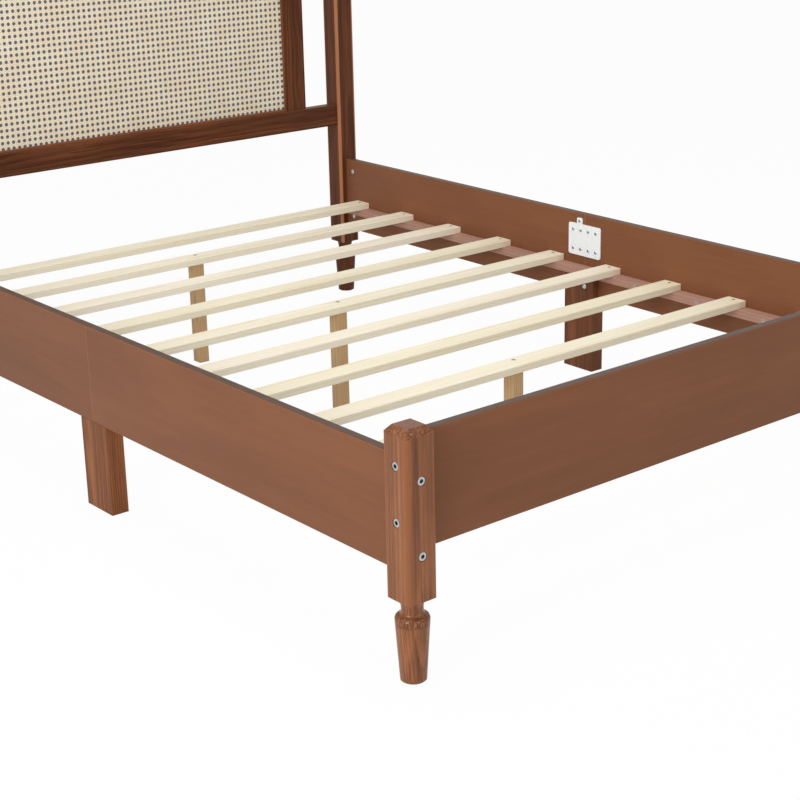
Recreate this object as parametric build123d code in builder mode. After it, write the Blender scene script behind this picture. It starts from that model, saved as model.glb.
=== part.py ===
from build123d import *
import os
from math import atan2, degrees

os.makedirs("parts", exist_ok=True)

# Platform bed of stained wood with turned legs, slats and a cane headboard.
# Millimetres, +X across the bed, +Y towards the headboard, +Z up.
# The origin is on the floor under the middle of the bed.
# A side is -1 for left and 1 for right, an end is -1 for the foot and 1 for the head.
SIDES = {"left": -1, "right": 1}
ENDS = {"foot": -1, "head": 1}

# Mattress, and the room between it and the side rails and the posts
mattress_width = 1372
mattress_length = 1905
mattress_side_gap = 5
mattress_end_gap = 13.5

# Posts: square stock over a turned leg
post_size = 60
arris_radius = 11
cap_inset = 11
cap_drop = 13
foot_post_reveal = 13
head_post_reveal = 20

# Turned leg, by radius and height
leg_height = 150
foot_radius = 22.4
foot_easing = 2
shoulder_radius = 29.7
shoulder_drop = 38.5
shoulder_arc = 8.5
shoulder_turn = 75
cove_arc = 7.5
neck_length = 4.8
neck_flare = 5.4

# Side rails and foot rail
rail_thickness = 18
rail_height = 203
rail_easing = 1.5
side_rail_lift = 41
foot_rail_step = 42
seam_gap = 0.4

# Ledgers and slats
ledger_width = 28
ledger_height = 20
ledger_lift = 54
ledger_end_gap = 16
ledger_easing = 1
slat_count = 10
slat_width = 52
slat_thickness = 16
slat_easing = 1.2
slat_end_clearance = 1.5
slat_first_inset = 76

# Centre legs, under the slats numbered here from the head
centre_leg_slats = (2, 5, 8)
centre_leg_width = 28
centre_leg_depth = 31
centre_leg_easing = 1.5

# Legs under the seam of the side rails
mid_leg_width = 98
mid_leg_tongue = 20
mid_leg_easing = 2
mid_bolt_spread = 40
mid_bolt_lift = 26.5

# Steel plates over the seam
plate_width = 110
plate_height = 80
plate_thickness = 2.5
plate_corner = 6
plate_lift = 6.5
tab_width = 18
tab_height = 15
tab_offset = 17.5
tab_corner = 3

# Headboard frame
rail_to_headboard_gap = 98
headboard_setback = 9
headboard_rail_depth = 30
headboard_rail_height = 58
headboard_easing = 2
stile_thickness = 24
stile_width = 59.5
stile_gap = 102.5
panel_height = 467
tenon_thickness = 16
tenon_shoulder = 8
tenon_length = 25
stile_tenon_thickness = 9
stile_tenon_length = 20
tenon_fit = 0.2

# Cane panel, its backing and the bead round it
rebate_width = 8
rebate_depth = 10
panel_fit = 0.3
cane_thickness = 2
backing_thickness = 3
bead_size = 5

# Rail bolts and their barrel nuts
bolt_head_radius = 7.75
bolt_head_height = 3
bolt_shank_radius = 4
bolt_socket_radius = 3
bolt_socket_depth = 2
counterbore_depth = 3.5
side_bolt_lifts = (39.5, 169.5)
foot_bolt_lifts = (55, 152)
nut_radius = 6
nut_length = 14
nut_inset = 28
nut_sink = 0.3
bolt_overrun = 2
hole_overrun = 1

# Domed bolts that hold the legs under the seam
mid_bolt_radius = 3
mid_bolt_head = 6.5
mid_bolt_head_height = 4
mid_bolt_dome = 2.5
mid_bolt_bite = 13

# Clearance round a shank or head, on the radius
bore_clearance = 0.5
pilot_clearance = 0.15

# Overall size and the planes that the pieces share
clear_width = mattress_width + 2 * mattress_side_gap
clear_length = mattress_length + 2 * mattress_end_gap
bed_width = clear_width + rail_thickness + post_size
bed_length = clear_length + 2 * post_size
post_x = (bed_width - post_size) / 2
post_y = (bed_length - post_size) / 2
rail_end_x = post_x - post_size / 2
rail_end_y = post_y - post_size / 2
rail_inner_x = post_x - rail_thickness / 2
foot_rail_inner_y = -post_y + rail_thickness / 2
side_rail_bottom = leg_height + side_rail_lift
side_rail_top = side_rail_bottom + rail_height
foot_rail_bottom = side_rail_bottom + foot_rail_step
foot_post_height = foot_rail_bottom + rail_height + foot_post_reveal
ledger_bottom = side_rail_bottom + ledger_lift
ledger_top = ledger_bottom + ledger_height
slat_top = ledger_top + slat_thickness
plate_bottom = slat_top + plate_lift
plate_top = plate_bottom + plate_height

# Headboard planes, seen from the foot
headboard_front_y = rail_end_y + headboard_setback
headboard_back_y = headboard_front_y + headboard_rail_depth
headboard_mid_y = (headboard_front_y + headboard_back_y) / 2
stile_front_y = headboard_back_y - stile_thickness
cane_front_y = headboard_back_y - rebate_depth
stile_tenon_y = (stile_front_y + cane_front_y) / 2
cross_rail_bottom = side_rail_top + rail_to_headboard_gap
panel_bottom = cross_rail_bottom + headboard_rail_height
panel_top = panel_bottom + panel_height
panel_middle = (panel_bottom + panel_top) / 2
top_rail_top = panel_top + headboard_rail_height
head_post_height = top_rail_top + head_post_reveal
cross_rail_middle = panel_bottom - headboard_rail_height / 2
top_rail_middle = panel_top + headboard_rail_height / 2
stile_outer_x = rail_end_x - stile_gap
stile_inner_x = stile_outer_x - stile_width
stile_middle_x = (stile_inner_x + stile_outer_x) / 2
stile_tenon_width = stile_width - 2 * rebate_width
rebate_x = stile_inner_x + rebate_width

# Places along the bed
slat_first_y = rail_end_y - slat_first_inset
slat_pitch = 2 * slat_first_y / (slat_count - 1)
slat_places = [slat_first_y - number * slat_pitch for number in range(slat_count)]
slat_half_length = clear_width / 2 - slat_end_clearance
centre_leg_offset = (slat_width - centre_leg_depth) / 2
ledger_end_y = rail_end_y - ledger_end_gap
nut_y = rail_end_y - nut_inset
nut_x = rail_end_x - nut_inset


def facing(x, y, z, normal):
    """Plane on a face, for a fastener that enters against the normal."""
    return Plane(origin=(x, y, z), z_dir=normal)


def section_x(x, y, z):
    """Plane across a bar that runs along +X, its own x along Y and its own y up."""
    return Plane(origin=(x, y, z), x_dir=(0, 1, 0), z_dir=(1, 0, 0))


def section_y(x, y, z):
    """Plane across a bar that runs along +Y, its own x along -X and its own y up."""
    return Plane(origin=(x, y, z), x_dir=(-1, 0, 0), z_dir=(0, 1, 0))


def save(part, name):
    part.label = name
    export_step(part, f"parts/{name}.step")


# Seats of the fasteners: one list for the holes and for what goes in them
def side_bolt_seats(side, end):
    return [
        facing(side * post_x, end * (rail_end_y + post_size), side_rail_bottom + lift, (0, end, 0))
        for lift in side_bolt_lifts
    ]


def foot_bolt_seats(side):
    return [
        facing(side * (rail_end_x + post_size), -post_y, foot_rail_bottom + lift, (side, 0, 0))
        for lift in foot_bolt_lifts
    ]


def side_nut_seats(side, end):
    """Mouths of the cross bores, each with its own x pointing back at the bolt's head."""
    x = side * rail_inner_x
    return [
        Plane(origin=(x, end * nut_y, side_rail_bottom + lift), x_dir=(0, end, 0), z_dir=(-side, 0, 0))
        for lift in side_bolt_lifts
    ]


def foot_nut_seats(side):
    x = side * nut_x
    return [
        Plane(origin=(x, foot_rail_inner_y, foot_rail_bottom + lift), x_dir=(side, 0, 0), z_dir=(0, 1, 0))
        for lift in foot_bolt_lifts
    ]


def mid_bolt_seat(side, end):
    x = side * (rail_inner_x - mid_leg_tongue)
    return facing(x, end * mid_bolt_spread / 2, side_rail_bottom + mid_bolt_lift, (-side, 0, 0))


# Posts
def make_post(name, side, end, height, bolt_seats, mortise_heights):
    """Turned leg under a square post with rounded arrises and a cap chamfered on four sides."""
    x = side * post_x
    y = end * post_y
    half = post_size / 2
    shoulder_height = leg_height - shoulder_drop
    lean = degrees(atan2(shoulder_radius - foot_radius, shoulder_height))
    cap_outline = [
        (-half, leg_height),
        (half, leg_height),
        (half, height - cap_drop),
        (half - cap_inset, height),
        (cap_inset - half, height),
        (-half, height - cap_drop),
    ]
    with BuildPart() as post:
        with BuildSketch(Plane(origin=(x, y, leg_height))):
            RectangleRounded(post_size, post_size, arris_radius)
        extrude(amount=height - leg_height)
        for plane in (section_x(x, y, 0), section_y(x, y, 0)):
            with BuildSketch(plane):
                Polygon(*cap_outline, align=None)
            extrude(amount=post_size, both=True, mode=Mode.INTERSECT)
        with BuildSketch(section_y(x, y, 0)):
            with BuildLine():
                Line((0, 0), (foot_radius, 0))
                taper = Line((foot_radius, 0), (shoulder_radius, shoulder_height))
                shoulder = JernArc(taper @ 1, taper % 1, shoulder_arc, shoulder_turn)
                cove = JernArc(shoulder @ 1, shoulder % 1, cove_arc, lean - shoulder_turn)
                neck = Line(cove @ 1, cove @ 1 + Vector(0, neck_length))
                flare_end = Vector((neck @ 1).X + neck_flare, leg_height)
                flare = TangentArc(neck @ 1, flare_end, tangent=(0, 1))
                Line(flare @ 1, (0, leg_height))
                Line((0, leg_height), (0, 0))
            make_face()
        revolve(axis=Axis((x, y, 0), (0, 0, 1)))
        chamfer(post.edges().group_by(Axis.Z)[0], length=foot_easing)
        with Locations(*bolt_seats):
            CounterBoreHole(
                bolt_shank_radius + bore_clearance,
                bolt_head_radius + bore_clearance,
                counterbore_depth,
            )
        for middle in mortise_heights:
            with BuildSketch(section_x(x - side * half, headboard_mid_y, middle)):
                Rectangle(
                    tenon_thickness + 2 * tenon_fit,
                    headboard_rail_height - 2 * tenon_shoulder + 2 * tenon_fit,
                )
            extrude(amount=side * (tenon_length + tenon_fit), mode=Mode.SUBTRACT)
    save(post.part, name)


for side_name, side in SIDES.items():
    make_post(
        f"head_post_{side_name}",
        side,
        1,
        head_post_height,
        side_bolt_seats(side, 1),
        (cross_rail_middle, top_rail_middle),
    )
    make_post(
        f"foot_post_{side_name}",
        side,
        -1,
        foot_post_height,
        side_bolt_seats(side, -1) + foot_bolt_seats(side),
        (),
    )


# Side rails, each in two halves that meet at the seam
def make_side_rail(name, side, end):
    length = rail_end_y - seam_gap / 2
    with BuildPart() as rail:
        with BuildSketch(section_y(side * post_x, end * seam_gap / 2, side_rail_bottom + rail_height / 2)):
            RectangleRounded(rail_thickness, rail_height, rail_easing)
        extrude(amount=end * length)
        with Locations(
            *[
                facing(side * post_x, end * rail_end_y, side_rail_bottom + lift, (0, end, 0))
                for lift in side_bolt_lifts
            ]
        ):
            Hole(bolt_shank_radius + bore_clearance, depth=nut_inset)
        with Locations(*side_nut_seats(side, end)):
            Hole(nut_radius + pilot_clearance, depth=nut_length + 2 * nut_sink)
        with Locations(mid_bolt_seat(side, end)):
            Hole(mid_bolt_radius + pilot_clearance, depth=mid_leg_tongue + mid_bolt_bite + 1)
    save(rail.part, name)


# Ledgers, the strips that carry the slats
def make_ledger(name, side, end):
    middle_x = side * (rail_inner_x - ledger_width / 2)
    with BuildPart() as ledger:
        with BuildSketch(section_y(middle_x, end * seam_gap / 2, ledger_bottom + ledger_height / 2)):
            RectangleRounded(ledger_width, ledger_height, ledger_easing)
        extrude(amount=end * (ledger_end_y - seam_gap / 2))
    save(ledger.part, name)


for side_name, side in SIDES.items():
    for end_name, end in ENDS.items():
        make_side_rail(f"side_rail_{side_name}_{end_name}", side, end)
        make_ledger(f"ledger_{side_name}_{end_name}", side, end)


# Foot rail
with BuildPart() as foot_rail:
    with BuildSketch(section_x(-rail_end_x, -post_y, foot_rail_bottom + rail_height / 2)):
        RectangleRounded(rail_thickness, rail_height, rail_easing)
    extrude(amount=2 * rail_end_x)
    for side in SIDES.values():
        with Locations(
            *[
                facing(side * rail_end_x, -post_y, foot_rail_bottom + lift, (side, 0, 0))
                for lift in foot_bolt_lifts
            ]
        ):
            Hole(bolt_shank_radius + bore_clearance, depth=nut_inset)
        with Locations(*foot_nut_seats(side)):
            Hole(nut_radius + pilot_clearance, depth=nut_length + 2 * nut_sink)
save(foot_rail.part, "foot_rail")


# Legs under the seam, rabbeted so that the rail sits on them and their tongue backs it
def make_mid_leg(name, side):
    tongue_middle = side * (rail_inner_x - mid_leg_tongue / 2)
    foot_middle = side * (rail_inner_x + (rail_thickness - mid_leg_tongue) / 2)
    with BuildPart() as mid_leg:
        with BuildSketch(Plane(origin=(foot_middle, 0, 0))):
            Rectangle(rail_thickness + mid_leg_tongue, mid_leg_width)
        extrude(amount=side_rail_bottom)
        with BuildSketch(Plane(origin=(tongue_middle, 0, side_rail_bottom))):
            Rectangle(mid_leg_tongue, mid_leg_width)
        extrude(amount=ledger_lift)
        outer = mid_leg.edges().filter_by(Axis.Z).filter_by(
            lambda edge: abs(edge.center().X - side * (rail_inner_x + rail_thickness)) < 0.1
        )
        fillet(outer, radius=mid_leg_easing)
        with Locations(*[mid_bolt_seat(side, end) for end in ENDS.values()]):
            Hole(mid_bolt_radius + pilot_clearance, depth=mid_leg_tongue)
    save(mid_leg.part, name)


# Steel plates over the seam of a side rail, with one tab above the edge
def make_joint_plate(name, side):
    face_x = side * rail_inner_x
    with BuildPart() as plate:
        with BuildSketch(section_x(face_x, 0, (plate_bottom + plate_top) / 2)):
            RectangleRounded(plate_width, plate_height, plate_corner)
            with Locations((side * tab_offset, plate_height / 2)):
                RectangleRounded(tab_width, 2 * tab_height, tab_corner)
        extrude(amount=-side * plate_thickness)
    save(plate.part, name)


for side_name, side in SIDES.items():
    make_mid_leg(f"mid_leg_{side_name}", side)
    make_joint_plate(f"joint_plate_{side_name}", side)


# Slats, numbered from the head
def make_slat(name, y):
    with BuildPart() as slat:
        with BuildSketch(section_x(-slat_half_length, y, slat_top - slat_thickness / 2)):
            RectangleRounded(slat_width, slat_thickness, slat_easing)
        extrude(amount=2 * slat_half_length)
    save(slat.part, name)


# Centre legs, flush with the head edge of the slat that stands on them
def make_centre_leg(name, y):
    with BuildPart() as leg:
        with BuildSketch(Plane(origin=(0, y + centre_leg_offset, 0))):
            RectangleRounded(centre_leg_width, centre_leg_depth, centre_leg_easing)
        extrude(amount=ledger_top)
    save(leg.part, name)


for number, y in enumerate(slat_places, start=1):
    make_slat(f"slat_{number}", y)
for number, slat in enumerate(centre_leg_slats, start=1):
    make_centre_leg(f"centre_leg_{number}", slat_places[slat - 1])


# Headboard rails, tenoned into the posts and mortised for the stiles
def make_headboard_rail(name, middle, up):
    """Rail at a height; up is 1 where the cane lies above it and -1 where it lies below."""
    panel_edge = middle + up * headboard_rail_height / 2
    with BuildPart() as rail:
        with BuildSketch(section_x(-rail_end_x, headboard_mid_y, middle)):
            RectangleRounded(headboard_rail_depth, headboard_rail_height, headboard_easing)
        extrude(amount=2 * rail_end_x)
        with BuildSketch(section_x(-rail_end_x - tenon_length, headboard_mid_y, middle)):
            Rectangle(tenon_thickness, headboard_rail_height - 2 * tenon_shoulder)
        extrude(amount=2 * (rail_end_x + tenon_length))
        with BuildSketch(section_x(-rebate_x, headboard_back_y - rebate_depth / 2, panel_edge)):
            Rectangle(rebate_depth, 2 * rebate_width)
        extrude(amount=2 * rebate_x, mode=Mode.SUBTRACT)
        with BuildSketch(Plane(origin=(0, stile_tenon_y, panel_edge))):
            for side in SIDES.values():
                with Locations((side * stile_middle_x, 0)):
                    Rectangle(
                        stile_tenon_width + 2 * tenon_fit,
                        stile_tenon_thickness + 2 * tenon_fit,
                    )
        extrude(amount=-up * (stile_tenon_length + tenon_fit), mode=Mode.SUBTRACT)
    save(rail.part, name)


make_headboard_rail("headboard_cross_rail", cross_rail_middle, 1)
make_headboard_rail("headboard_top_rail", top_rail_middle, -1)


# Stiles, rebated at the back for the cane and its backing
def make_stile(name, side):
    middle_x = side * stile_middle_x
    rebate_middle_y = headboard_back_y - rebate_depth / 2
    with BuildPart() as stile:
        with BuildSketch(Plane(origin=(middle_x, headboard_back_y - stile_thickness / 2, panel_bottom))):
            RectangleRounded(stile_width, stile_thickness, headboard_easing)
        extrude(amount=panel_height)
        with BuildSketch(Plane(origin=(side * stile_inner_x, rebate_middle_y, panel_bottom))):
            Rectangle(2 * rebate_width, rebate_depth)
        extrude(amount=panel_height, mode=Mode.SUBTRACT)
        with BuildSketch(Plane(origin=(middle_x, stile_tenon_y, panel_bottom - stile_tenon_length))):
            Rectangle(stile_tenon_width, stile_tenon_thickness)
        extrude(amount=panel_height + 2 * stile_tenon_length)
    save(stile.part, name)


for side_name, side in SIDES.items():
    make_stile(f"headboard_stile_{side_name}", side)


# Cane panel and the backing board behind it, in the rebate
def make_panel(name, front_y, thickness):
    with BuildPart() as panel:
        with BuildSketch(section_y(0, front_y, panel_middle)):
            Rectangle(2 * (rebate_x - panel_fit), panel_height + 2 * (rebate_width - panel_fit))
        extrude(amount=thickness)
    save(panel.part, name)


make_panel("cane_panel", cane_front_y, cane_thickness)
make_panel("cane_backing", cane_front_y + cane_thickness, backing_thickness)


# Quarter-round bead, mitred round the opening in front of the cane
def make_bead(name, edge, length, corners, level):
    """Bead with its square corner on the origin of the edge plane, mitred at two corners."""
    turn = -1 if level else 1
    with BuildPart() as bead:
        with BuildSketch(edge):
            with BuildLine():
                foot = Line((0, 0), (bead_size, 0))
                JernArc(foot @ 1, (0, 1), bead_size, 90)
                Line((0, bead_size), (0, 0))
            make_face()
        extrude(amount=length / 2, both=True)
        for across, up in corners:
            corner = (
                across * stile_inner_x,
                cane_front_y,
                panel_middle + up * panel_height / 2,
            )
            mitre = Plane(origin=corner, z_dir=(turn * across, 0, -turn * up))
            split(bisect_by=mitre, keep=Keep.TOP)
    save(bead.part, name)


for bead_name, up in (("bottom", -1), ("top", 1)):
    edge_z = panel_middle + up * panel_height / 2
    edge = Plane(origin=(0, cane_front_y, edge_z), x_dir=(0, -1, 0), z_dir=(up, 0, 0))
    make_bead(f"cane_bead_{bead_name}", edge, 2 * stile_inner_x, [(-1, up), (1, up)], True)
for side_name, side in SIDES.items():
    edge_x = side * stile_inner_x
    edge = Plane(origin=(edge_x, cane_front_y, panel_middle), x_dir=(0, -1, 0), z_dir=(0, 0, -side))
    make_bead(f"cane_bead_{side_name}", edge, panel_height, [(side, -1), (side, 1)], False)


# Fasteners: each is made once, head up at the origin, and set on its seats
with BuildPart() as rail_bolt:
    with BuildSketch(Plane.XY.offset(-counterbore_depth)):
        Circle(bolt_head_radius)
    extrude(amount=bolt_head_height)
    with BuildSketch(Plane.XY.offset(-counterbore_depth)):
        Circle(bolt_shank_radius)
    extrude(amount=counterbore_depth - post_size - nut_inset - bolt_overrun)
    with BuildSketch(Plane.XY.offset(bolt_head_height - counterbore_depth)):
        RegularPolygon(bolt_socket_radius, 6)
    extrude(amount=-bolt_socket_depth, mode=Mode.SUBTRACT)

with BuildPart() as barrel_nut:
    with BuildSketch(Plane.XY.offset(-nut_sink)):
        Circle(nut_radius)
    extrude(amount=-nut_length)
    blind_end = -bolt_overrun - hole_overrun
    with BuildSketch(Plane(origin=(blind_end, 0, -rail_thickness / 2), z_dir=(1, 0, 0))):
        Circle(bolt_shank_radius + pilot_clearance)
    extrude(amount=nut_radius - blind_end, mode=Mode.SUBTRACT)

with BuildPart() as mid_bolt:
    Cylinder(mid_bolt_head, mid_bolt_head_height, align=(Align.CENTER, Align.CENTER, Align.MIN))
    chamfer(mid_bolt.edges().group_by(Axis.Z)[-1], length=mid_bolt_dome, length2=mid_bolt_dome)
    Cylinder(mid_bolt_radius, mid_leg_tongue + mid_bolt_bite, align=(Align.CENTER, Align.CENTER, Align.MAX))

CORNERS = [(side, end) for side in SIDES.values() for end in ENDS.values()]
fastener_groups = {
    "side_rail_bolts": (rail_bolt, [seat for corner in CORNERS for seat in side_bolt_seats(*corner)]),
    "foot_rail_bolts": (rail_bolt, [seat for side in SIDES.values() for seat in foot_bolt_seats(side)]),
    "side_barrel_nuts": (barrel_nut, [seat for corner in CORNERS for seat in side_nut_seats(*corner)]),
    "foot_barrel_nuts": (barrel_nut, [seat for side in SIDES.values() for seat in foot_nut_seats(side)]),
    "mid_leg_bolts": (mid_bolt, [mid_bolt_seat(*corner) for corner in CORNERS]),
}
for name, (fastener, seats) in fastener_groups.items():
    with BuildPart() as group:
        with Locations(*seats):
            add(fastener.part)
    save(group.part, name)
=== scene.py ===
"""A platform bed with turned legs, slats and a cane headboard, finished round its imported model."""

from math import asin, atan2, cos, floor, pi, radians, sin

import bmesh
import bpy
from mathutils import Matrix, Vector


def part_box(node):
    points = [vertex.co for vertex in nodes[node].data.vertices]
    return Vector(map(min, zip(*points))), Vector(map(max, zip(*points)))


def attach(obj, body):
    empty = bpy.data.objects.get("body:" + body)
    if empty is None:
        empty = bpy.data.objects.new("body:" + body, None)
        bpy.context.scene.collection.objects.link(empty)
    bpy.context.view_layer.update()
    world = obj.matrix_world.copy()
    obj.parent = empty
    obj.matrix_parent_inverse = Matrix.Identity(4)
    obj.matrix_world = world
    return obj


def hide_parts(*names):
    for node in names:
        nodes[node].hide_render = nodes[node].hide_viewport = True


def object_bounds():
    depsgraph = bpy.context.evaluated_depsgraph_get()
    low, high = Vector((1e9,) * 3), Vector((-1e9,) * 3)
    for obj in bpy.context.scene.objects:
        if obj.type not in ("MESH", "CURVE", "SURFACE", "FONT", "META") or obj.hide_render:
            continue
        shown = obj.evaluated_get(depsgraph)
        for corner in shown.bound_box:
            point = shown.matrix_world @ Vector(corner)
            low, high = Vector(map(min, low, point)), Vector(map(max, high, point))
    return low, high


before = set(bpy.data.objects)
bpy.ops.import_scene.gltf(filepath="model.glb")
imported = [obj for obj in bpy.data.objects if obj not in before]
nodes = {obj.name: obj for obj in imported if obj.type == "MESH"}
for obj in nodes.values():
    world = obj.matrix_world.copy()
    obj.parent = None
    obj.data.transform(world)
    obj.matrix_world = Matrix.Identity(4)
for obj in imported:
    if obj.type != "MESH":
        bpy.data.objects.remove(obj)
cad_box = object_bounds()

MM = 0.001
AXES = "XYZ"
ACROSS = Vector((1, 0, 0))
UP = Vector((0, 0, 1))
HANDS = (-1, 1)
BODY = "root"
RECESS_SHADE = "recess"
MERGE_DISTANCE = 0.002 * MM


def paint(red, green, blue):
    """A colour mixed as it looks, in levels from 0 to 255, as the linear colour that a shader takes."""

    def linear(level):
        share = level / 255
        return share / 12.92 if share <= 0.04045 else ((share + 0.055) / 1.055) ** 2.4

    return (linear(red), linear(green), linear(blue), 1.0)


# Shader maths


class Field:
    """A value or colour that varies over a surface. Arithmetic on it adds the Math nodes."""

    def __init__(self, shading, socket):
        self.shading = shading
        self.socket = socket

    def _math(self, operation, first, second=0.0):
        return self.shading.node("ShaderNodeMath", {"operation": operation}, {0: first, 1: second})

    def __add__(self, other):
        return self._math("ADD", self, other)

    def __radd__(self, other):
        return self._math("ADD", other, self)

    def __sub__(self, other):
        return self._math("SUBTRACT", self, other)

    def __rsub__(self, other):
        return self._math("SUBTRACT", other, self)

    def __mul__(self, other):
        return self._math("MULTIPLY", self, other)

    def __rmul__(self, other):
        return self._math("MULTIPLY", other, self)

    def __truediv__(self, other):
        return self._math("DIVIDE", self, other)

    def __pow__(self, other):
        return self._math("POWER", self, other)

    def __mod__(self, other):
        return self._math("MODULO", self, other)

    def __abs__(self):
        return self._math("ABSOLUTE", self)

    def greatest(self, other):
        return self._math("MAXIMUM", self, other)

    def rise(self, low, high):
        """0 up to low, 1 from high on, and a soft step between them."""
        return self.shading.node(
            "ShaderNodeMapRange",
            {"interpolation_type": "SMOOTHSTEP"},
            {"Value": self, "From Min": low, "From Max": high},
        )


class Shading:
    """The shader nodes of a material or a world."""

    def __init__(self, owner):
        owner.use_nodes = True
        self.tree = owner.node_tree

    def node(self, kind, settings=None, values=None, output=0):
        """Adds a node: its settings first, then the values or links of its sockets."""
        made = self.tree.nodes.new(kind)
        for name, setting in (settings or {}).items():
            if name == "stops":
                for number, (position, colour) in enumerate(setting):
                    stops = made.color_ramp.elements
                    stop = stops[number] if number < 2 else stops.new(position)
                    stop.position = position
                    stop.color = colour
            else:
                setattr(made, name, setting)
        for name, value in (values or {}).items():
            if isinstance(value, Field):
                self.tree.links.new(value.socket, made.inputs[name])
            else:
                made.inputs[name].default_value = value
        return Field(self, made.outputs[output])

    def outputs_of(self, field, *names):
        """Outputs of the node that a field comes from, as fields."""
        outputs = field.socket.node.outputs
        return [Field(self, outputs[name]) for name in names]

    def lead(self, field, shader, name):
        """Links a field to a named input of a shader."""
        self.tree.links.new(field.socket, shader.inputs[name])


class Finish(Shading):
    """A procedural finish on the Principled shader, patterned on Object coordinates."""

    def __init__(self, name, **levels):
        self.material = bpy.data.materials.new(name)
        super().__init__(self.material)
        self.shader = self.tree.nodes["Principled BSDF"]
        for words, level in levels.items():
            self.shader.inputs[words.replace("_", " ").title()].default_value = level
        self.place = self.node("ShaderNodeTexCoord", output="Object")

    def split(self, vector):
        return self.outputs_of(self.node("ShaderNodeSeparateXYZ", values={"Vector": vector}), *AXES)

    def drawn_out(self, grain, along, across, origin=(0, 0, 0)):
        """Coordinates with so many features to the metre along the grain and across it."""
        scale = [across] * 3
        scale[AXES.index(grain)] = along
        shift = [-place * share for place, share in zip(origin, scale)]
        return self.node(
            "ShaderNodeMapping",
            values={"Vector": self.place, "Location": shift, "Scale": scale},
        )

    def noise(self, vector, detail=2.0, roughness=0.5, distortion=0.0):
        return self.node(
            "ShaderNodeTexNoise",
            values={
                "Vector": vector,
                "Scale": 1.0,
                "Detail": detail,
                "Roughness": roughness,
                "Distortion": distortion,
            },
        )

    def blend(self, share, first, second):
        """One colour turning into another as share goes from 0 to 1."""
        return self.node(
            "ShaderNodeMix",
            {"data_type": "RGBA"},
            {0: share, 6: first, 7: second},
            output=2,
        )

    def ramp(self, share, *stops):
        return self.node("ShaderNodeValToRGB", {"stops": stops}, {"Fac": share})

    def apply(self, colour, roughness, height, depth):
        """Puts the worked-out fields on the shader. The depth of the relief is in metres."""
        self.lead(colour, self.shader, "Base Color")
        self.lead(roughness, self.shader, "Roughness")
        bump = self.node("ShaderNodeBump", values={"Height": height, "Distance": depth})
        self.lead(bump, self.shader, "Normal")
        return self.material


# Woods


def growth_rings(finish, grain, heart, spacing, waver):
    """Years counted out from a heart line along the grain. A ring ends at every whole number."""
    offsets = [
        part - place
        for axis, part, place in zip(AXES, finish.split(finish.place), heart)
        if axis != grain
    ]
    radius = (offsets[0] ** 2 + offsets[1] ** 2) ** 0.5
    sway = finish.noise(finish.drawn_out(grain, 2.4, 9.0, heart), detail=3.0) - 0.5
    return (radius + sway * waver) / spacing


def stained_timber(name, grain, centre, heart_offset, stain, arris=None, spacing=3.6 * MM, gloss=0.1):
    """Solid wood with a brown stain: rings, streaks, fibres and fine pores under a satin lacquer."""
    finish = Finish(name, roughness=0.4, coat_weight=gloss, coat_roughness=0.12)
    finish.shader.inputs["Specular IOR Level"].default_value = 0.05
    heart = Vector(centre) + Vector(heart_offset)
    ring = growth_rings(finish, grain, heart, spacing, 16 * MM) % 1.0
    late = ring.rise(0.1, 0.8) * (1 - ring.rise(0.8, 1.0))
    band = finish.noise(finish.drawn_out(grain, 1.2, 60.0, heart), detail=1.0)
    streak = finish.noise(finish.drawn_out(grain, 3.0, 260.0, heart), detail=2.0)
    fibre = finish.noise(finish.drawn_out(grain, 22.0, 900.0, heart), detail=2.0, roughness=0.6)
    pores = finish.noise(finish.drawn_out(grain, 75.0, 1700.0, heart), detail=1.0).rise(0.62, 0.72)
    cloud = finish.noise(finish.drawn_out(grain, 4.0, 14.0, heart), detail=2.0)
    tone = late * 0.16 + band * 0.55 + streak * 0.75 + fibre * 0.35 + cloud * 0.4 - 0.6
    light, mid, dark, rubbed_and_lit = stain
    colour = finish.ramp(tone, (0.15, light), (0.5, mid), (0.85, dark))
    colour = finish.blend(pores * 0.45, colour, dark)
    if arris is not None:
        x, y, z = finish.split(finish.place)
        reach = ((x - centre[0]) ** 2 + (y - centre[1]) ** 2) ** 0.5
        # The arrises are lightened towards the arris colour: wear with a painted highlight on their
        # rounding
        wear_and_highlight = reach.rise(*arris) * (0.6 + fibre * 0.5)
        colour = finish.blend(wear_and_highlight, colour, rubbed_and_lit)
        # A post stands on the floor, so its top is twice as high as its centre
        top = 2 * centre[2]
        shoulder = z.rise(100 * MM, 106 * MM) * (1 - z.rise(118 * MM, 124 * MM))
        end_grain = z.rise(top - 14 * MM, top - 12 * MM) + shoulder
        dots = finish.noise(finish.drawn_out(grain, 90.0, 480.0, heart), detail=1.0).rise(0.46, 0.56)
        colour = finish.blend(end_grain * dots * 0.75, colour, dark)
        # Painted shade: the flat top face is darkened half way to the stain's dark, against the overhead
        # softbox
        colour = finish.blend(z.rise(top - 0.4 * MM, top - 0.2 * MM) * 0.5, colour, dark)
    height = fibre * 0.5 - pores * 0.8 - late * 0.4
    return finish.apply(colour, roughness=0.36 + fibre * 0.14, height=height, depth=0.05 * MM)


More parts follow.
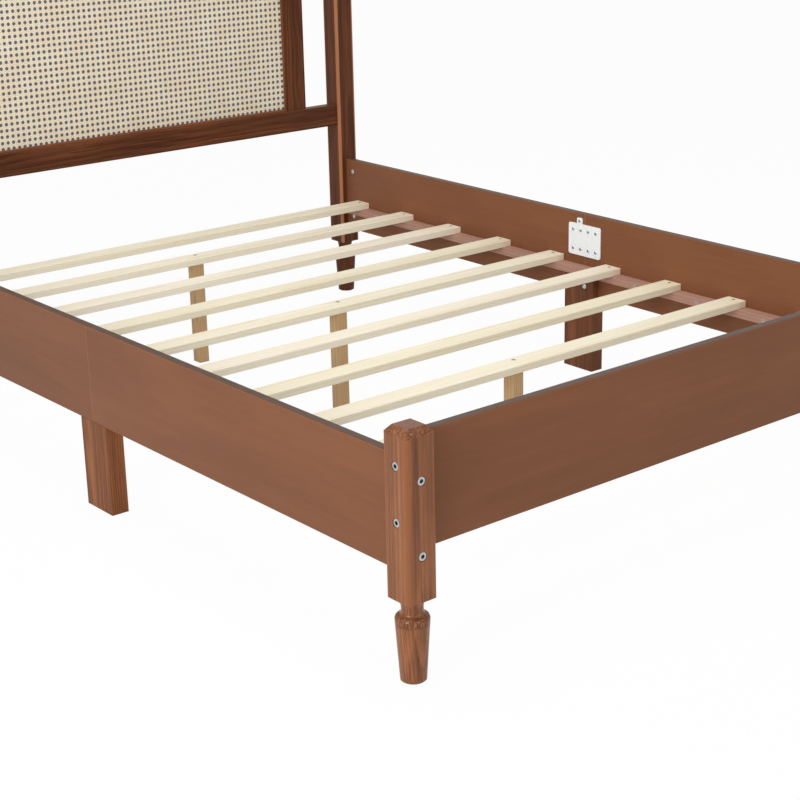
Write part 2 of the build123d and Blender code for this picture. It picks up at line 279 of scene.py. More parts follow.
def veneered_board(name, grain, low, high, light, dark):
    """A smooth veneered rail: a low mottle, arrises lightened as a painted highlight, a pale seam and a
    dark grey top edge.
    """
    finish = Finish(name, roughness=0.45, coat_weight=0.04, coat_roughness=0.3)
    finish.shader.inputs["Specular IOR Level"].default_value = 0.14
    origin = (low + high) / 2
    cloud = finish.noise(finish.drawn_out(grain, 1.6, 5.0, origin), detail=3.0, distortion=0.6)
    streak = finish.noise(finish.drawn_out(grain, 3.0, 60.0, origin), detail=2.0)
    fibre = finish.noise(finish.drawn_out(grain, 30.0, 700.0, origin), detail=2.0)
    tone = cloud * 0.9 + streak * 0.35 + fibre * 0.22 - 0.3
    colour = finish.ramp(tone, (0.1, light), (0.9, dark))
    _, y, z = finish.split(finish.place)
    # Painted highlight: thin orange bands along the upper and lower arrises of the face
    upper = z.rise(high.z - 2.6 * MM, high.z - 1.6 * MM)
    lower = 1 - z.rise(low.z + 1.0 * MM, low.z + 2.0 * MM)
    colour = finish.blend((upper + lower) * 0.6, colour, paint(150, 90, 56))
    if grain == "Y":
        seam = 1 - abs(y).rise(0.5 * MM, 1.0 * MM)
        colour = finish.blend(seam * 0.75, colour, paint(172, 126, 98))
    # The top face and the top of its arris are coloured dark grey
    edge = z.rise(high.z - 0.6 * MM, high.z - 0.3 * MM)
    grey = finish.blend(fibre, paint(96, 74, 60), paint(62, 48, 42))
    colour = finish.blend(edge, colour, grey)
    return finish.apply(colour, roughness=0.4 + fibre * 0.14, height=fibre, depth=0.03 * MM)


def pale_pine(name, grain, origin, heart, light, dark, knots=0.5):
    """Planed unfinished softwood: soft wide rings, pale fibres and a few small knots."""
    finish = Finish(name, roughness=0.62)
    years = growth_rings(finish, grain, heart, 5.5 * MM, 14 * MM)
    late = (years % 1.0) ** 3.0
    fibre = finish.noise(finish.drawn_out(grain, 18.0, 700.0, origin), detail=2.0, roughness=0.6)
    cloud = finish.noise(finish.drawn_out(grain, 2.0, 16.0, origin), detail=2.0)
    tone = late * 0.42 + fibre * 0.32 + cloud * 0.5 - 0.3
    colour = finish.blend(tone, light, dark)
    cells = finish.node(
        "ShaderNodeTexVoronoi",
        values={"Vector": finish.drawn_out(grain, 4.0, 14.0, origin), "Scale": 1.0},
    )
    (cell_colour,) = finish.outputs_of(cells, "Color")
    chance = finish.split(cell_colour)[0].rise(1.0 - knots, 1.02 - knots)
    knot = (1 - cells.rise(0.03, 0.09)) * chance
    colour = finish.blend(knot * 0.85, colour, paint(142, 104, 66))
    height = fibre - late * 0.6
    return finish.apply(colour, roughness=0.55 + fibre * 0.16, height=height, depth=0.08 * MM)


def zinc_plate():
    """Bright zinc with painted shade in the recesses, which are marked on the heads as an attribute."""
    finish = Finish("zinc plated steel", metallic=1.0, roughness=0.28)
    grain = finish.noise(finish.drawn_out("Z", 900.0, 900.0), detail=2.0)
    colour = finish.blend(grain, paint(206, 210, 214), paint(164, 168, 172))
    in_shaded_recess = finish.node("ShaderNodeAttribute", {"attribute_name": RECESS_SHADE}, output="Fac")
    # Painted shade: the marked recesses of the heads are darkened
    colour = finish.blend(in_shaded_recess, colour, paint(78, 76, 76))
    return finish.apply(colour, roughness=0.2 + grain * 0.16, height=grain, depth=0.02 * MM)


def white_enamel():
    finish = Finish("white enamelled steel", roughness=0.4, coat_weight=0.3)
    peel = finish.noise(finish.drawn_out("Z", 500.0, 500.0), detail=2.0)
    colour = finish.blend(peel, paint(250, 254, 255), paint(242, 248, 253))
    return finish.apply(colour, roughness=0.34 + peel * 0.12, height=peel, depth=0.03 * MM)


def cane_fibre():
    finish = Finish("bleached cane", roughness=0.5)
    fibre = finish.noise(finish.drawn_out("Z", 400.0, 400.0), detail=2.0)
    cloud = finish.noise(finish.drawn_out("Z", 14.0, 14.0), detail=2.0)
    colour = finish.ramp(
        fibre * 0.6 + cloud * 0.6 - 0.1,
        (0.2, paint(252, 246, 228)),
        (0.8, paint(238, 216, 180)),
    )
    return finish.apply(colour, roughness=0.42 + fibre * 0.2, height=fibre, depth=0.1 * MM)


def backing_cloth():
    finish = Finish("grey backing board", roughness=0.9)
    weave = finish.noise(finish.drawn_out("Z", 600.0, 600.0), detail=2.0)
    colour = finish.blend(weave, paint(118, 118, 128), paint(88, 86, 94))
    return finish.apply(colour, roughness=0.8 + weave * 0.15, height=weave, depth=0.05 * MM)


def dress(name, material):
    """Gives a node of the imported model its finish."""
    slots = nodes[name].material_slots
    if not slots:
        nodes[name].data.materials.append(material)
    for slot in slots:
        slot.material = material


zinc = zinc_plate()
enamel = white_enamel()
cane = cane_fibre()
backing = backing_cloth()


def middle(name):
    low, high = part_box(name)
    return (low + high) / 2


# Finishes of the imported nodes

# Each stain runs from its light through its middle to its dark, with its arris colour last: wear with a
# painted highlight
# The foot stain is the bed's stain as lit at the foot; the middle, head and bead stains are copies of it
# darkened as painted shade
FOOT_STAIN = (paint(170, 109, 70), paint(133, 82, 50), paint(92, 53, 32), paint(148, 90, 54))
MIDDLE_STAIN_PAINTED_SHADE = (paint(140, 88, 60), paint(114, 70, 46), paint(80, 46, 30), paint(150, 94, 58))
HEAD_STAIN_PAINTED_SHADE = (paint(122, 72, 46), paint(92, 53, 33), paint(62, 34, 22), paint(184, 122, 86))
BEAD_STAIN_PAINTED_SHADE = (paint(146, 90, 58), paint(122, 72, 46), paint(88, 50, 30), paint(150, 92, 60))
ARRIS_REACH = (37.2 * MM, 38.4 * MM)
# The head posts take the head stain, darkened as painted shade
POST_STAINS = {
    "foot_post_left": FOOT_STAIN,
    "foot_post_right": FOOT_STAIN,
    "head_post_left": HEAD_STAIN_PAINTED_SHADE,
    "head_post_right": HEAD_STAIN_PAINTED_SHADE,
}
for number, (name, stain) in enumerate(POST_STAINS.items()):
    heart = (12 * MM, 130 * MM * (-1) ** number, 0.37 * number)
    gloss = 0.4 if stain is FOOT_STAIN else 0.1
    timber = stained_timber(f"stained {name}", "Z", middle(name), heart, stain, ARRIS_REACH, gloss=gloss)
    dress(name, timber)

RAIL_LIGHT = paint(143, 92, 61)
RAIL_DARK = paint(112, 70, 46)
for name in nodes:
    if name == "foot_rail" or name.startswith("side_rail_") and name != "side_rail_bolts":
        grain = "X" if name == "foot_rail" else "Y"
        dress(name, veneered_board(f"veneered {name}", grain, *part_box(name), RAIL_LIGHT, RAIL_DARK))

# The right mid leg takes the middle stain, darkened as painted shade
for side, stain in (("left", FOOT_STAIN), ("right", MIDDLE_STAIN_PAINTED_SHADE)):
    name = f"mid_leg_{side}"
    heart = (0.2, 0.05, 0.1)
    dress(name, stained_timber(f"stained {name}", "Z", middle(name), heart, stain, spacing=5 * MM))
    # The headboard's stiles and beads take the head and bead stains, darkened as painted shade
    name = f"headboard_stile_{side}"
    heart = (0.05, 0.15, 0.3)
    dress(name, stained_timber(f"stained {name}", "Z", middle(name), heart, HEAD_STAIN_PAINTED_SHADE, gloss=0.05))
    name = f"cane_bead_{side}"
    dress(name, stained_timber(f"stained {name}", "Z", middle(name), (0.1, 0.1, 0.1), BEAD_STAIN_PAINTED_SHADE))
# Painted shade: the head and bead stains darken the headboard's rails and beads
for name in ("headboard_cross_rail", "headboard_top_rail"):
    heart = (0.3, 0.15, 0.04)
    dress(name, stained_timber(f"stained {name}", "X", middle(name), heart, HEAD_STAIN_PAINTED_SHADE, gloss=0.05))
for name in ("cane_bead_bottom", "cane_bead_top"):
    dress(name, stained_timber(f"stained {name}", "X", middle(name), (0.1, 0.1, 0.1), BEAD_STAIN_PAINTED_SHADE))

for side in ("left", "right"):
    for end in ("foot", "head"):
        name = f"ledger_{side}_{end}"
        dress(
            name,
            pale_pine(
                f"washed {name}",
                "Y",
                middle(name),
                middle(name) + Vector((0.02, 0, 0.03)),
                paint(176, 134, 116),
                paint(128, 88, 72),
            ),
        )

SLAT_COUNT = 10
for number in range(1, SLAT_COUNT + 1):
    name = f"slat_{number}"
    shade = (number * 7) % SLAT_COUNT / SLAT_COUNT
    light = paint(246 - 6 * shade, 239 - 6 * shade, 222 - 14 * shade)
    dark = paint(226 - 6 * shade, 206 - 8 * shade, 170 - 14 * shade)
    heart = middle(name) + Vector((0, 0.03 * sin(3 * number), 0.05))
    dress(name, pale_pine(f"planed {name}", "X", middle(name), heart, light, dark))

CENTRE_LEGS = (1, 2, 3)
for number in CENTRE_LEGS:
    name = f"centre_leg_{number}"
    heart = middle(name) + Vector((0.03, -0.01 * number, 0))
    dress(
        name,
        pale_pine(f"planed {name}", "Z", middle(name), heart, paint(208, 174, 128), paint(144, 104, 62)),
    )

for name in ("side_barrel_nuts", "foot_barrel_nuts"):
    dress(name, zinc)
for name in ("joint_plate_left", "joint_plate_right"):
    dress(name, enamel)
dress("cane_backing", backing)


# Making pieces


def piece(name, mesh_builder, material, node_slot, *replaced):
    """Finishes a bmesh as a piece of the bed that rides on its one body."""
    mesh = bpy.data.meshes.new(name)
    mesh_builder.to_mesh(mesh)
    mesh_builder.free()
    mesh.materials.append(material)
    made = bpy.data.objects.new(name, mesh)
    bpy.context.scene.collection.objects.link(made)
    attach(made, BODY)
    if replaced:
        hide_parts(*replaced)
    return made


# Cane webbing: paired uprights and wefts plaited one over one, and two slanting sets that cut the
# corners of the meshes

CANE_PITCH_X = 14.95 * MM
CANE_PITCH_Z = 15.13 * MM
CANE_HOLE_X = 499.7 * MM
CANE_HOLE_Z = 557.1 * MM
PAIR_SPREAD = 1.72 * MM
STRAND_WIDTH = 2.9 * MM
SLANT_WIDTH = 2.5 * MM
STRAND_THICKNESS = 0.62 * MM
PLAIT_LIFT = 0.32 * MM
SLANT_LIFT = 0.64 * MM
STRAND_SIDES = 6
FRONT = Vector((0, -1, 0))
CANE_LOW, CANE_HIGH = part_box("cane_panel")
CANE_PLANE_Y = (CANE_LOW.y + CANE_HIGH.y) / 2


def lay_strand(mesh, start, along, width, stops, lifts):
    """Adds a flat strand that runs along a direction and stands forward by its lift at each stop."""
    before = len(mesh.verts)
    ends = bmesh.ops.create_cone(
        mesh, cap_ends=True, segments=STRAND_SIDES, radius1=0.5, radius2=0.5, depth=1.0
    )["verts"]
    long_edges = {
        edge for end in ends for edge in end.link_edges if edge.calc_length() > 0.9
    }
    bmesh.ops.subdivide_edges(mesh, edges=list(long_edges), cuts=len(stops) - 2)
    mesh.verts.ensure_lookup_table()
    across = FRONT.cross(along)
    for corner in mesh.verts[before:]:
        number = round((corner.co.z + 0.5) * (len(stops) - 1))
        aside = across * (corner.co.x * width)
        forward = FRONT * (corner.co.y * STRAND_THICKNESS + lifts[number])
        corner.co = start + along * stops[number] + aside + forward


def steps_between(first, pitch, low, high):
    """The places at a pitch from a first one that lie between two limits."""
    number = floor((low - first) / pitch) + 1
    places = []
    while first + number * pitch < high:
        places.append(first + number * pitch)
        number += 1
    return places


def paired(centres):
    """Both strands of every pair, low one first."""
    return [centre + hand * PAIR_SPREAD for centre in centres for hand in HANDS]


def plaited(name, places, crossings, low, high, origin, along, across, first_over):
    """Parallel strands of one direction of the plait, one over and one under."""
    mesh = bmesh.new()
    stops = [0.0] + [crossing - low for crossing in crossings] + [high - low]
    for row, place in enumerate(places):
        over = [PLAIT_LIFT * (-1) ** (row + column + first_over) for column in range(len(crossings))]
        start = origin + along * low + across * place
        lay_strand(mesh, start, along, STRAND_WIDTH, stops, [0.0, *over, 0.0])
    piece(name, mesh, cane, "cane", "cane_panel")


def slanted(name, lean):
    """Single strands that run corner to corner past the holes, over one pair and under the next."""
    mesh = bmesh.new()
    left = (CANE_LOW.x - CANE_HOLE_X) / CANE_PITCH_X
    right = (CANE_HIGH.x - CANE_HOLE_X) / CANE_PITCH_X
    bottom = (CANE_LOW.z - CANE_HOLE_Z) / CANE_PITCH_Z
    top = (CANE_HIGH.z - CANE_HOLE_Z) / CANE_PITCH_Z
    step = Vector((CANE_PITCH_X, 0, lean * CANE_PITCH_Z))
    offsets = [level - lean * side for level in (bottom, top) for side in (left, right)]
    for number in range(floor(min(offsets)), floor(max(offsets)) + 1):
        offset = number + 0.5
        limits = sorted(((bottom - offset) * lean, (top - offset) * lean))
        low = max(left, limits[0])
        high = min(right, limits[1])
        crossings = steps_between(0.0, 0.5, low, high)
        if len(crossings) < 2:
            continue
        over = [lean * SLANT_LIFT * (-1) ** round(2 * crossing) for crossing in crossings]
        stops = [(place - low) * step.length for place in [low, *crossings, high]]
        start = Vector((CANE_HOLE_X, CANE_PLANE_Y, CANE_HOLE_Z + offset * CANE_PITCH_Z)) + step * low
        lay_strand(mesh, start, step.normalized(), SLANT_WIDTH, stops, [0.0, *over, 0.0])
    piece(name, mesh, cane, "cane", "cane_panel")


def pairs_between(hole, pitch, low, high):
    """The places of both strands of every pair that stands whole between two limits."""
    return paired(steps_between(hole + pitch / 2, pitch, low + PAIR_SPREAD, high - PAIR_SPREAD))


upright_places = pairs_between(CANE_HOLE_X, CANE_PITCH_X, CANE_LOW.x, CANE_HIGH.x)
weft_places = pairs_between(CANE_HOLE_Z, CANE_PITCH_Z, CANE_LOW.z, CANE_HIGH.z)
CANE_ORIGIN = Vector((0, CANE_PLANE_Y, 0))
plaited("cane_uprights", upright_places, weft_places, CANE_LOW.z, CANE_HIGH.z, CANE_ORIGIN, UP, ACROSS, 0)
plaited("cane_wefts", weft_places, upright_places, CANE_LOW.x, CANE_HIGH.x, CANE_ORIGIN, ACROSS, UP, 1)
slanted("cane_slants_rising", 1)
slanted("cane_slants_falling", -1)


# Posts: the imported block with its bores, over a leg turned again with finer facets

POST_HALF = 30 * MM
CAD_ARRIS = 11 * MM
ARRIS_RADIUS = 6.5 * MM
CAP_DROP = 13 * MM
EDGE_SLACK = 0.05 * MM
LEG_HEIGHT = 150 * MM
FOOT_RADIUS = 22.4 * MM
FOOT_EASING = 2 * MM
SHOULDER_RADIUS = 29.7 * MM
SHOULDER_HEIGHT = 111.5 * MM
SHOULDER_ARC = 8.5 * MM
SHOULDER_TURN = radians(75)
COVE_ARC = 7.5 * MM
NECK_LENGTH = 4.8 * MM
NECK_FLARE = 5.4 * MM
LEG_TENON = 1 * MM
CUT_CLEARANCE = 0.02 * MM
TURNING_STEPS = 56
ARC_STEPS = 8
SMOOTH_ANGLE = radians(35)


def leg_profile():
    """Half of the leg's outline, as radius and height, from the floor to inside the block."""
    lean = atan2(SHOULDER_RADIUS - FOOT_RADIUS, SHOULDER_HEIGHT)
    easing_radius = FOOT_RADIUS - FOOT_EASING
    points = [(0.0, 0.0), (easing_radius, 0.0), (FOOT_RADIUS + FOOT_EASING * sin(lean), FOOT_EASING)]
    points.append((SHOULDER_RADIUS, SHOULDER_HEIGHT))
    shoulder_centre = (
        SHOULDER_RADIUS - SHOULDER_ARC * cos(lean),
        SHOULDER_HEIGHT + SHOULDER_ARC * sin(lean),
    )
    for number in range(1, ARC_STEPS + 1):
        angle = -lean + SHOULDER_TURN * number / ARC_STEPS
        points.append(
            (shoulder_centre[0] + SHOULDER_ARC * cos(angle), shoulder_centre[1] + SHOULDER_ARC * sin(angle))
        )
    outward = SHOULDER_TURN - lean
    cove_centre = (
        points[-1][0] + COVE_ARC * cos(outward),
        points[-1][1] + COVE_ARC * sin(outward),
    )
    for number in range(1, ARC_STEPS + 1):
        angle = outward * (1 - number / ARC_STEPS)
        points.append((cove_centre[0] - COVE_ARC * cos(angle), cove_centre[1] - COVE_ARC * sin(angle)))
    neck_radius = points[-1][0]
    flare_foot = points[-1][1] + NECK_LENGTH
    rise = LEG_HEIGHT - flare_foot
    flare_arc = (rise**2 + NECK_FLARE**2) / (2 * NECK_FLARE)
    full_turn = asin(rise / flare_arc)
    for number in range(ARC_STEPS + 1):
        angle = full_turn * number / ARC_STEPS
        points.append(
            (neck_radius + flare_arc * (1 - cos(angle)), flare_foot + flare_arc * sin(angle))
        )
    points.append((neck_radius + NECK_FLARE, LEG_HEIGHT + LEG_TENON))
    points.append((0.0, LEG_HEIGHT + LEG_TENON))
    return points


def crease(mesh):
    """Smooths every face and keeps the true edges sharp."""
    for face in mesh.faces:
        face.smooth = True
    for edge in mesh.edges:
        edge.smooth = len(edge.link_faces) == 2 and edge.calc_face_angle() < SMOOTH_ANGLE


def ease_arrises(block, axis, top):
    """Draws the block's four arrises out to the radius of the real ones, and its cap with them."""
    inner = POST_HALF - CAD_ARRIS
    for corner in block.verts:
        aside = [corner.co.x - axis.x, corner.co.y - axis.y]
        if min(abs(aside[0]), abs(aside[1])) < inner - EDGE_SLACK:
            continue
        on_cap = corner.co.z > top - CAP_DROP + EDGE_SLACK
        if on_cap and max(abs(aside[0]), abs(aside[1])) < inner + EDGE_SLACK:
            continue
        for number, part in enumerate(aside):
            hand = 1 if part > 0 else -1
            part = POST_HALF - ARRIS_RADIUS + (abs(part) - inner) * ARRIS_RADIUS / CAD_ARRIS
            corner.co[number] = axis[number] + hand * part
        reach = max(abs(corner.co.x - axis.x), abs(corner.co.y - axis.y))
        cap = top - CAP_DROP * (reach - inner) / CAD_ARRIS
        if corner.co.z > min(cap, top - CAP_DROP):
            corner.co.z = cap


def turned_post(name):
    """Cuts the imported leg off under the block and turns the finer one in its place."""
    low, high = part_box(name)
    axis = Vector(((low.x + high.x) / 2, (low.y + high.y) / 2, 0))
    block = bmesh.new()
    block.from_mesh(nodes[name].data)
    bmesh.ops.remove_doubles(block, verts=block.verts, dist=MERGE_DISTANCE)
    bmesh.ops.bisect_plane(
        block,
        geom=[*block.verts, *block.edges, *block.faces],
        plane_co=UP * (LEG_HEIGHT + CUT_CLEARANCE),
        plane_no=UP,
        clear_inner=True,
    )
    ease_arrises(block, axis, high.z)
    rim = [edge for edge in block.edges if edge.is_boundary]
    bmesh.ops.holes_fill(block, edges=rim, sides=0)
    profile = [block.verts.new(axis + Vector((radius, 0, height))) for radius, height in leg_profile()]
    outline = [block.edges.new(pair) for pair in zip(profile, profile[1:])]
    bmesh.ops.spin(
        block,
        geom=profile + outline,
        axis=UP,
        cent=axis,
        angle=2 * pi,
        steps=TURNING_STEPS,
        use_merge=True,
    )
    bmesh.ops.remove_doubles(block, verts=block.verts, dist=MERGE_DISTANCE)
    reach = LEG_HEIGHT + LEG_TENON * 2
    leg_faces = [face for face in block.faces if face.calc_center_median().z < reach]
    bmesh.ops.recalc_face_normals(block, faces=leg_faces)
    crease(block)
    stained = nodes[name].material_slots[0].material
    made = piece(f"turned_{name}", block, stained, "stained_wood", name)
    made.modifiers.new("even faces", "WEIGHTED_NORMAL").keep_sharp = True


for name in POST_STAINS:
    turned_post(name)


# Fasteners: heads turned once at the origin, looking up, and set on their seats

SOCKET_STEPS = 24
SCREW_STEPS = 16
DOME_STEPS = 5


def turned(profile, steps):
    """Spins an outline of radius and height pairs, from its lower end to its upper, about Z."""
    mesh = bmesh.new()
    points = [mesh.verts.new((radius, 0, height)) for radius, height in profile]
    outline = [mesh.edges.new(pair) for pair in zip(points, points[1:])]
    bmesh.ops.spin(
        mesh,
        geom=points + outline,
        axis=UP,
        cent=(0, 0, 0),
        angle=2 * pi,
        steps=steps,
        use_merge=True,
    )
    bmesh.ops.remove_doubles(mesh, verts=mesh.verts, dist=MERGE_DISTANCE)
    bmesh.ops.recalc_face_normals(mesh, faces=mesh.faces)
    return mesh


def shade_recess(mesh, in_shaded_recess):
    """Marks the corners that lie in a recess, for the finish to paint shade on them."""
    depth = mesh.verts.layers.float.new(RECESS_SHADE)
    for corner in mesh.verts:
        corner[depth] = 1.0 if in_shaded_recess(corner.co) else 0.0
    crease(mesh)
    return mesh


def socket_bolt():
    """Bolt with a low head, a hexagon socket and its shank; its seat lies at the face of the wood."""
    under = -3.5 * MM
    face = -0.5 * MM
    floor_level = -2.6 * MM
    socket = 3.6 * MM
    mesh = turned(
        [
            (0, -90 * MM),
            (4 * MM, -90 * MM),
            (4 * MM, under),
            (7.75 * MM, under),
            (7.75 * MM, face - 0.9 * MM),
            (7.45 * MM, face - 0.3 * MM),
            (6.8 * MM, face),
            (socket + 0.5 * MM, face),
            (socket, face - 0.4 * MM),
            (socket, floor_level),
            (0, floor_level),
        ],
        SOCKET_STEPS,
    )
    for corner in mesh.verts:
        reach = (corner.co.x**2 + corner.co.y**2) ** 0.5
        if abs(reach - socket) < 0.01 * MM and corner.co.z > under:
            angle = atan2(corner.co.y, corner.co.x) % (pi / 3) - pi / 6
            corner.co.x *= cos(pi / 6) / cos(angle)
            corner.co.y *= cos(pi / 6) / cos(angle)
    limit = socket + 0.1 * MM
    return shade_recess(mesh, lambda co: co.z > under and co.x**2 + co.y**2 < limit**2)


def domed_bolt():
    """Round-headed bolt and its shank."""
    outline = [(0, -33 * MM), (3 * MM, -33 * MM), (3 * MM, 0), (6.5 * MM, 0)]
    for number in range(1, DOME_STEPS + 1):
        angle = pi / 2 * number / DOME_STEPS
        outline.append((6.5 * MM * cos(angle), 4 * MM * sin(angle)))
    return shade_recess(turned(outline, SOCKET_STEPS), lambda co: False)


def screw_head(radius, height):
    """Screw head that stands up from its seat, with a recess for a cross driver."""
    rim = 0.3 * height
    recess = 0.36 * radius
    mesh = turned(
        [
            (radius, -0.2 * MM),
            (radius, rim),
            (0.8 * radius, 0.82 * height),
            (recess, height),
            (recess * 0.8, height - 0.8 * MM),
            (0, height - 1.2 * MM),
        ],
        SCREW_STEPS,
    )
    for corner in mesh.verts:
        reach = (corner.co.x**2 + corner.co.y**2) ** 0.5
        if reach < 1.05 * recess and round(atan2(corner.co.y, corner.co.x) / (pi / 8)) % 4 != 0:
            corner.co.x *= 0.45
            corner.co.y *= 0.45
    return shade_recess(mesh, lambda co: co.x**2 + co.y**2 < (0.9 * recess) ** 2)


def set_on(name, head, seats, *replaced):
    """Copies a zinc-plated head to every seat, given as a place and the way that it looks."""
    pattern = bpy.data.meshes.new(f"{name} pattern")
    head.to_mesh(pattern)
    head.free()
    mesh = bmesh.new()
    for place, look in seats:
        before = len(mesh.verts)
        mesh.from_mesh(pattern)
        mesh.verts.ensure_lookup_table()
        turn = Vector(look).to_track_quat("Z", "Y").to_matrix().to_4x4()
        bmesh.ops.transform(mesh, matrix=Matrix.Translation(place) @ turn, verts=mesh.verts[before:])
    bpy.data.meshes.remove(pattern)
    piece(name, mesh, zinc, "zinc_steel", *replaced)


POST_X = 700 * MM
POST_Y = 996 * MM
POST_FACE_X, POST_FACE_Y = cad_box[1][:2]
SIDE_BOLT_HEIGHTS = (230.5 * MM, 360.5 * MM)
FOOT_BOLT_HEIGHTS = (288 * MM, 385 * MM)
MID_LEG_FACE_X = 671 * MM
MID_LEG_BOLT_Y = 20 * MM
MID_LEG_BOLT_HEIGHT = 217.5 * MM
PLATE_FACE_X = 688.5 * MM
PLATE_SCREW_COLUMNS = (-39 * MM, -13 * MM, 13 * MM, 39 * MM)
PLATE_SCREW_ROWS = (303.5 * MM, 351.5 * MM)
TAB_SCREW_Y = 17.5 * MM
TAB_SCREW_HEIGHT = 375 * MM
set_on(
    "side_rail_bolt_heads",
    socket_bolt(),
    [
        ((side * POST_X, end * POST_FACE_Y, height), (0, end, 0))
        for side in HANDS
        for end in HANDS
        for height in SIDE_BOLT_HEIGHTS
    ],
    "side_rail_bolts",
)
set_on(
    "foot_rail_bolt_heads",
    socket_bolt(),
    [
        ((side * POST_FACE_X, -POST_Y, height), (side, 0, 0))
        for side in HANDS
        for height in FOOT_BOLT_HEIGHTS
    ],
    "foot_rail_bolts",
)
set_on(
    "mid_leg_domed_bolts",
    domed_bolt(),
    [
        ((side * MID_LEG_FACE_X, end * MID_LEG_BOLT_Y, MID_LEG_BOLT_HEIGHT), (-side, 0, 0))
        for side in HANDS
        for end in HANDS
    ],
    "mid_leg_bolts",
)
plate_seats = [
    ((side * PLATE_FACE_X, column, row), (-side, 0, 0))
    for side in HANDS
    for column in PLATE_SCREW_COLUMNS
    for row in PLATE_SCREW_ROWS
]
plate_seats += [
    ((side * PLATE_FACE_X, side * TAB_SCREW_Y, TAB_SCREW_HEIGHT), (-side, 0, 0)) for side in HANDS
]
set_on("plate_screws", screw_head(4.2 * MM, 1.8 * MM), plate_seats)

SLAT_ROWS = [middle(f"slat_{number}").y for number in range(1, SLAT_COUNT + 1)]
SLAT_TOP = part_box("slat_1")[1].z
SLAT_SCREW_X = 677 * MM
set_on(
    "slat_screws",
    screw_head(4.0 * MM, 0.5 * MM),
    [((side * SLAT_SCREW_X, row, SLAT_TOP), UP) for side in HANDS for row in SLAT_ROWS],
)
set_on(
    "centre_leg_screws",
    screw_head(5.4 * MM, 1.2 * MM),
    [((0, middle(f"centre_leg_{number}").y, SLAT_TOP), UP) for number in CENTRE_LEGS],
)
LEDGER_FACE_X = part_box("ledger_right_foot")[0].x
LEDGER_MIDDLE = middle("ledger_right_foot").z
LEDGER_SCREW_PITCH = 197.8 * MM
set_on(
    "ledger_screws",
    screw_head(4.0 * MM, 0.6 * MM),
    [
        ((side * LEDGER_FACE_X, step * LEDGER_SCREW_PITCH, LEDGER_MIDDLE), (-side, 0, 0))
        for side in HANDS
        for step in (-4, -3, -2, -1, 1, 2, 3, 4)
    ],
)


# Floor, light and camera


FLOOR_REACH = 30.0
FLOOR_GREY = (0.86, 0.86, 0.86, 1.0)
FLOOR_GLOW = 0.96
WHITE = (1.0, 1.0, 1.0, 1.0)
AMBIENT = 0.38


def ray_is(shading, first, *others):
    """1 for a ray of one of the kinds and 0 for any other."""
    seen = shading.node("ShaderNodeLightPath", output=first)
    for kind in shading.outputs_of(seen, *others):
        seen = seen.greatest(kind)
    return seen


def studio_floor():
    """A matt floor with a white glow that only the camera and reflections see."""
    mesh = bmesh.new()
    bmesh.ops.create_grid(mesh, x_segments=1, y_segments=1, size=FLOOR_REACH)
    sheet = bpy.data.meshes.new("floor")
    mesh.to_mesh(sheet)
    mesh.free()
    floor_piece = bpy.data.objects.new("floor", sheet)
    bpy.context.scene.collection.objects.link(floor_piece)
    material = bpy.data.materials.new("pale floor")
    shading = Shading(material)
    matt = shading.tree.nodes["Principled BSDF"]
    matt.inputs["Base Color"].default_value = FLOOR_GREY
    matt.inputs["Roughness"].default_value = 0.9
    matt.inputs["Specular IOR Level"].default_value = 0.0
    share = ray_is(shading, "Is Camera Ray", "Is Glossy Ray") * FLOOR_GLOW
    glow = shading.node("ShaderNodeEmission", values={"Strength": 1.0})
    lit = Field(shading, matt.outputs[0])
    mixed = shading.node("ShaderNodeMixShader", values={0: share, 1: lit, 2: glow})
    shading.lead(mixed, shading.tree.nodes["Material Output"], "Surface")
    sheet.materials.append(material)


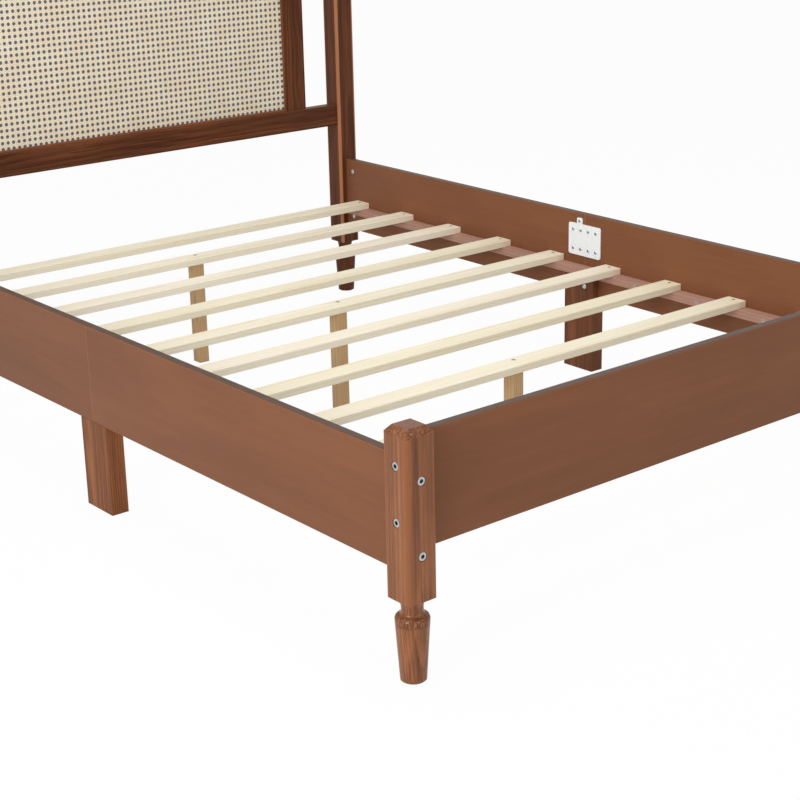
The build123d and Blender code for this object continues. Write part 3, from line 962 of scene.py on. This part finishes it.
def studio_world():
    """White behind the bed and in reflections, and a weak even light for everything else."""
    world = bpy.data.worlds.new("white studio")
    bpy.context.scene.world = world
    shading = Shading(world)
    background = shading.tree.nodes["Background"]
    background.inputs["Color"].default_value = WHITE
    seen = ray_is(shading, "Is Camera Ray", "Is Glossy Ray", "Is Transmission Ray")
    strength = shading.node("ShaderNodeMapRange", values={"Value": seen, "To Min": AMBIENT})
    shading.lead(strength, background, "Strength")


def softbox(name, place, target, size, power):
    """A square lamp of a size in metres and a power in watts, turned to its target."""
    lamp = bpy.data.lights.new(name, "AREA")
    lamp.shape = "SQUARE"
    lamp.size = size
    lamp.energy = power
    made = bpy.data.objects.new(name, lamp)
    made.location = place
    made.rotation_euler = (Vector(target) - Vector(place)).to_track_quat("-Z", "Y").to_euler()
    bpy.context.scene.collection.objects.link(made)


studio_floor()
studio_world()
softbox("overhead softbox", (-0.6, -0.4, 3.6), (0, 0, 0.2), 2.4, 74)
softbox("side softbox", (-3.6, -1.8, 1.6), (0, -0.6, 0.2), 1.2, 54)
softbox("front softbox", (-0.6, -4.4, 2.0), (0, -0.6, 0.3), 0.8, 15)

PHOTO_WIDTH = 800
FOCAL_PIXELS = 1764.35
CENTRE_U = 460.0
CENTRE_V = 402.86
HEADING = radians(41.0056)
PITCH = radians(-19.2018)
ROLL = radians(-0.5857)
STANDPOINT = Vector((-2.3514, -3.0193, 1.3924))


def photo_camera():
    """The camera that took in the bed from the left of its foot, with the same framing."""
    forward = Vector((sin(HEADING) * cos(PITCH), cos(HEADING) * cos(PITCH), sin(PITCH)))
    level = Vector((cos(HEADING), -sin(HEADING), 0))
    upright = level.cross(forward)
    right = level * cos(ROLL) + upright * sin(ROLL)
    up = upright * cos(ROLL) - level * sin(ROLL)
    data = bpy.data.cameras.new("photo camera")
    data.sensor_width = 36.0
    data.lens = FOCAL_PIXELS * data.sensor_width / PHOTO_WIDTH
    data.shift_x = (PHOTO_WIDTH / 2 - CENTRE_U) / PHOTO_WIDTH
    data.shift_y = (CENTRE_V - PHOTO_WIDTH / 2) / PHOTO_WIDTH
    made = bpy.data.objects.new("photo camera", data)
    bpy.context.scene.collection.objects.link(made)
    turn = Matrix((right, up, -forward)).transposed().to_4x4()
    made.matrix_world = Matrix.Translation(STANDPOINT) @ turn
    bpy.context.scene.camera = made


photo_camera()
bpy.context.scene.view_settings.view_transform = "Standard"
